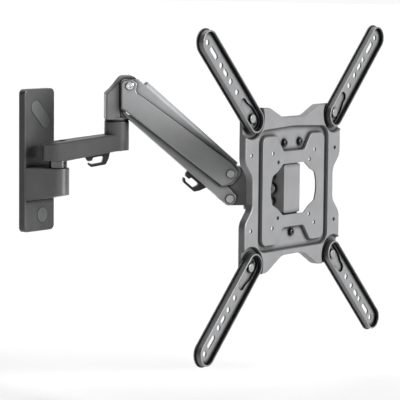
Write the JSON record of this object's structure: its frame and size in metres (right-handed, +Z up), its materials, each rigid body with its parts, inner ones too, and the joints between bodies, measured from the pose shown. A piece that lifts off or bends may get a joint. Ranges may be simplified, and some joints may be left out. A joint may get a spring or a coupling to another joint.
{
  "type": "full motion tv wall mount",
  "caption": "Wall mount for a flat screen: wall plate, short link arm, spring-balanced parallel arm, swivel and tilt head, and a pressed plate with fold-out extension arms.",
  "frame": {"origin": "centre of the wall plate's back face, on the wall", "axes": "+Z up; +Y into the wall, so the screen side faces -Y; +X to the right for someone facing the wall"},
  "size_m": [0.4389, 0.3044, 0.4359],
  "materials": {
    "painted_steel": "dark satin paint over pressed steel",
    "painted_casting": "dark satin paint over cast aluminium",
    "bright_steel": "polished and plated steel",
    "zinc_steel": "zinc plated steel",
    "black_steel": "black oxide screws",
    "grey_plastic": "fine grained moulding",
    "nylon": "natural nylon bearing"
  },
  "bodies": {
    "wall": {"wall_plate": "painted_steel", "wall_slot_cap": "grey_plastic", "wall_round_cap": "grey_plastic", "wall_bracket": "painted_casting", "bracket_screws": "black_steel", "wall_pivot_pin": "bright_steel", "wall_pivot_sleeve": "bright_steel"},
    "link": {"link_arm": "painted_casting", "link_bush": "nylon", "link_cap": "grey_plastic", "link_cable_clip": "grey_plastic", "elbow_bush": "nylon"},
    "post": {"post": "painted_casting", "elbow_spindle": "bright_steel", "elbow_washer": "nylon", "elbow_retainer": "zinc_steel"},
    "adjusting_screw": {"adjusting_screw": "zinc_steel"},
    "adjusting_block": {"adjusting_block": "zinc_steel"},
    "upper_arm": {"arm_shell": "painted_steel", "gas_cylinder": "black_steel", "spring_pin": "bright_steel", "upper_rear_pin": "bright_steel", "upper_front_pin": "bright_steel"},
    "gas_rod": {"gas_rod": "bright_steel"},
    "lower_arm": {"lower_arm": "painted_steel", "lower_rear_pin": "bright_steel", "lower_front_pin": "bright_steel", "arm_cable_clip": "grey_plastic"},
    "head": {"head_block": "painted_casting", "head_bush": "nylon"},
    "swivel": {"swivel_knuckle": "painted_casting", "swivel_pin": "bright_steel", "tilt_lock_screws": "black_steel"},
    "tilt": {"tilt_bracket": "painted_steel", "tilt_bolt": "black_steel", "tilt_nut": "zinc_steel", "plate_screws": "black_steel"},
    "plate": {"vesa_plate": "painted_steel", "arm_bolts": "black_steel", "arm_nuts": "zinc_steel"},
    "arm_upper_right": {"extension_arm_upper_right": "painted_steel", "arm_lock_screw_upper_right": "black_steel"},
    "arm_upper_left": {"extension_arm_upper_left": "painted_steel", "arm_lock_screw_upper_left": "black_steel"},
    "arm_lower_left": {"extension_arm_lower_left": "painted_steel", "arm_lock_screw_lower_left": "black_steel"},
    "arm_lower_right": {"extension_arm_lower_right": "painted_steel", "arm_lock_screw_lower_right": "black_steel"}
  },
  "joints": [
    {"name": "wall_pivot", "type": "hinge", "parent": "wall", "child": "link", "pos_m": [0, -0.043, 0], "axis": [0, 0, 1], "range_deg": [-135, 45]},
    {"name": "elbow", "type": "hinge", "parent": "link", "child": "post", "pos_m": [0.05586, -0.09886, 0.05], "axis": [0, 0, -1], "range_deg": [-90, 90]},
    {"name": "adjust_turn", "type": "hinge", "parent": "post", "child": "adjusting_screw", "pos_m": [0.0553, -0.0983, 0.1], "axis": [0, 0, 1], "range_deg": [-180, 180]},
    {"name": "adjust_travel", "type": "slide", "parent": "post", "child": "adjusting_block", "axis": [0, 0, 1], "range_m": [-0.00063, 0.00063]},
    {"name": "lift", "type": "hinge", "parent": "post", "child": "upper_arm", "pos_m": [0.06661, -0.10961, 0.1034], "axis": [-0.7071, -0.7071, 0], "range_deg": [-5, 71]},
    {"name": "lower_lift", "type": "hinge", "parent": "post", "child": "lower_arm", "pos_m": [0.06661, -0.10961, 0.0689], "axis": [-0.7071, -0.7071, 0], "range_deg": [-5, 71]},
    {"name": "spring_stroke", "type": "slide", "parent": "upper_arm", "child": "gas_rod", "axis": [-0.5824, 0.5824, 0.5671], "range_m": [-0.0016, 0.0216]},
    {"name": "head_level", "type": "hinge", "parent": "upper_arm", "child": "head", "pos_m": [0.1643, -0.2073, -0.01585], "axis": [-0.7071, -0.7071, 0], "range_deg": [-71, 5]},
    {"name": "swivel", "type": "hinge", "parent": "head", "child": "swivel", "pos_m": [0.18989, -0.23289, -0.04], "axis": [0, 0, -1], "range_deg": [-105, 15]},
    {"name": "tilt", "type": "hinge", "parent": "swivel", "child": "tilt", "pos_m": [0.18989, -0.27589, -0.03365], "axis": [1, 0, 0], "range_deg": [-12, 12]},
    {"name": "level", "type": "hinge", "parent": "tilt", "child": "plate", "pos_m": [0.18989, -0.29889, -0.03365], "axis": [0, 1, 0], "range_deg": [-3, 3]},
    {"name": "arm_turn_upper_right", "type": "hinge", "parent": "plate", "child": "arm_upper_right", "pos_m": [0.28839, -0.29889, 0.06485], "axis": [0, -1, 0], "range_deg": [-45, 45]},
    {"name": "arm_turn_upper_left", "type": "hinge", "parent": "plate", "child": "arm_upper_left", "pos_m": [0.09139, -0.29889, 0.06485], "axis": [0, 1, 0], "range_deg": [-45, 45]},
    {"name": "arm_turn_lower_left", "type": "hinge", "parent": "plate", "child": "arm_lower_left", "pos_m": [0.09139, -0.29889, -0.13215], "axis": [0, -1, 0], "range_deg": [-45, 45]},
    {"name": "arm_turn_lower_right", "type": "hinge", "parent": "plate", "child": "arm_lower_right", "pos_m": [0.28839, -0.29889, -0.13215], "axis": [0, 1, 0], "range_deg": [-45, 45]}
  ],
  "couplings": [
    {"joint": "adjust_turn", "follows": "adjust_travel", "rad_per_m": 5026.5},
    {"joint": "lower_lift", "follows": "lift", "ratio": 1},
    {"joint": "head_level", "follows": "lift", "ratio": -1},
    {"joint": "spring_stroke", "follows": "lift", "m_per_rad": 0.01734}
  ]
}
